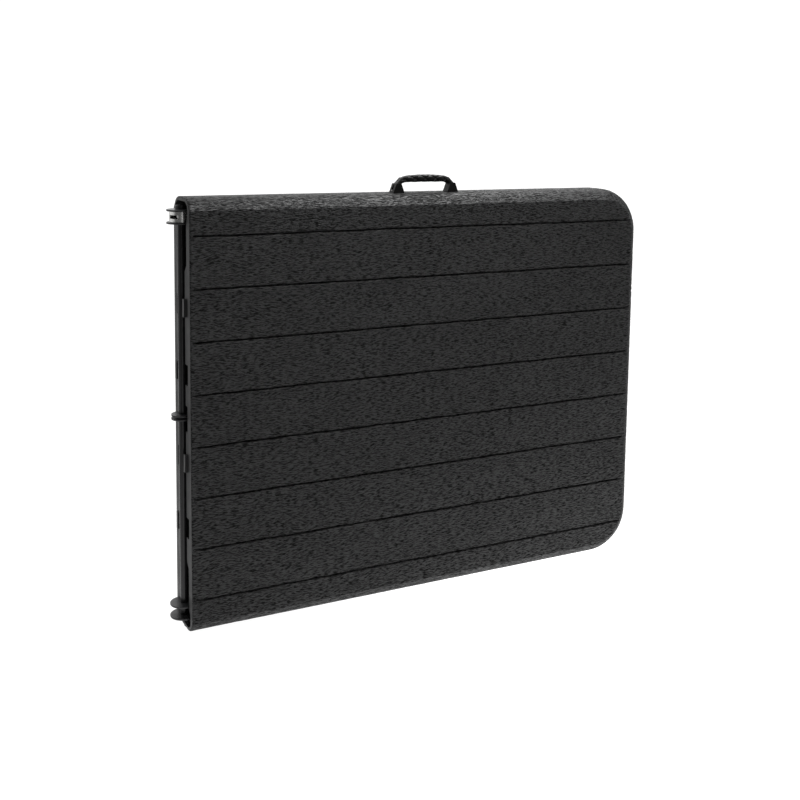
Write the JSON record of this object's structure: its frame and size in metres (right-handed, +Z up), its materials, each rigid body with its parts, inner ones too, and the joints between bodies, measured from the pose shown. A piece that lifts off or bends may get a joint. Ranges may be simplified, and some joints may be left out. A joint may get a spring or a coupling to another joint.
{
  "type": "folding table",
  "caption": "Fold-in-half banquet table, closed and standing on its long edge: plank-look plastic top, full-height hinge rod, stowed tube legs and a carry handle.",
  "frame": {"origin": "centre of the bounding box on the surface that the closed table stands on", "axes": "+X along the table from the fold end to the outer end, +Y through the folded thickness from the near half to the far half, +Z up"},
  "size_m": [0.946, 0.094, 0.7725],
  "materials": {
    "tabletop_plastic": "blow-moulded polyethylene with wood grain",
    "rail_steel": "satin powder coat",
    "leg_tube_steel": "satin powder coat",
    "rod_steel": "gloss black",
    "hinge_steel": "semi-gloss black",
    "zinc_plate": "bright zinc plate",
    "zinc_hardware": "zinc plate",
    "cap_plastic": "moulded",
    "handle_plastic": "moulded braid relief",
    "handle_strap": "smooth",
    "foot_rubber": "matt"
  },
  "bodies": {
    "near_half": {"handle_feet": "handle_plastic", "handle_grip": "handle_plastic", "handle_screws": "zinc_hardware", "handle_strap": "handle_strap", "hinge_bracket": "zinc_plate", "hinge_rod": "rod_steel", "hinge_rod_collars": "hinge_steel", "near_anchor_rivets": "zinc_hardware", "near_anchor_screws": "zinc_hardware", "near_brace_anchors": "hinge_steel", "near_bracket_screws": "zinc_hardware", "near_end_hinge_plates": "hinge_steel", "near_leg_pivot_brackets": "hinge_steel", "near_middle_hinge_plate": "hinge_steel", "near_rail_end_caps": "cap_plastic", "near_rail_screws": "zinc_hardware", "near_side_rails": "rail_steel", "near_tabletop": "tabletop_plastic"},
    "far_half": {"far_anchor_rivets": "zinc_hardware", "far_anchor_screws": "zinc_hardware", "far_brace_anchors": "hinge_steel", "far_bracket_screws": "zinc_hardware", "far_end_hinge_plates": "hinge_steel", "far_leg_pivot_brackets": "hinge_steel", "far_middle_hinge_plate": "hinge_steel", "far_rail_end_caps": "cap_plastic", "far_rail_screws": "zinc_hardware", "far_side_rails": "rail_steel", "far_tabletop": "tabletop_plastic"},
    "near_leg": {"near_leg_floor_bar": "leg_tube_steel", "near_leg_foot_caps": "foot_rubber", "near_leg_pivot_tube": "leg_tube_steel", "near_leg_posts": "leg_tube_steel", "near_leg_rivets": "zinc_hardware", "near_leg_stretcher": "leg_tube_steel"},
    "far_leg": {"far_leg_floor_bar": "leg_tube_steel", "far_leg_foot_caps": "foot_rubber", "far_leg_pivot_tube": "leg_tube_steel", "far_leg_posts": "leg_tube_steel", "far_leg_rivets": "zinc_hardware", "far_leg_stretcher": "leg_tube_steel"},
    "near_brace_upper": {"near_brace_upper_links": "leg_tube_steel", "near_elbow_rivets": "zinc_hardware"},
    "near_brace_lower": {"near_brace_lower_links": "leg_tube_steel"},
    "far_brace_upper": {"far_brace_upper_links": "leg_tube_steel", "far_elbow_rivets": "zinc_hardware"},
    "far_brace_lower": {"far_brace_lower_links": "leg_tube_steel"}
  },
  "joints": [
    {"name": "fold", "type": "hinge", "parent": "near_half", "child": "far_half", "pos_m": [-0.449, 0, 0.37], "axis": [0, 0, 1], "range_deg": [0, 180]},
    {"name": "near_leg_swing", "type": "hinge", "parent": "near_half", "child": "near_leg", "pos_m": [0.346, -0.0135, 0.37], "axis": [0, 0, -1], "range_deg": [0, 1.5]},
    {"name": "near_brace_upper_swing", "type": "hinge", "parent": "near_half", "child": "near_brace_upper", "pos_m": [0.016, -0.0135, 0.37], "axis": [0, 0, -1], "range_deg": [0, 0.25]},
    {"name": "near_brace_lower_swing", "type": "hinge", "parent": "near_leg", "child": "near_brace_lower", "pos_m": [0.046, -0.0135, 0.37], "axis": [0, 0, 1], "range_deg": [0, 3.3]},
    {"name": "far_leg_swing", "type": "hinge", "parent": "far_half", "child": "far_leg", "pos_m": [0.381, 0.0135, 0.37], "axis": [0, 0, 1], "range_deg": [0, 1.5]},
    {"name": "far_brace_upper_swing", "type": "hinge", "parent": "far_half", "child": "far_brace_upper", "pos_m": [0.051, 0.0135, 0.37], "axis": [0, 0, 1], "range_deg": [0, 0.25]},
    {"name": "far_brace_lower_swing", "type": "hinge", "parent": "far_leg", "child": "far_brace_lower", "pos_m": [0.081, 0.0135, 0.37], "axis": [0, 0, -1], "range_deg": [0, 3.3]}
  ],
  "couplings": [
    {"joint": "near_brace_upper_swing", "follows": "near_leg_swing", "ratio": 0.14},
    {"joint": "near_brace_lower_swing", "follows": "near_leg_swing", "ratio": 2.14},
    {"joint": "far_brace_upper_swing", "follows": "far_leg_swing", "ratio": 0.14},
    {"joint": "far_brace_lower_swing", "follows": "far_leg_swing", "ratio": 2.14}
  ]
}
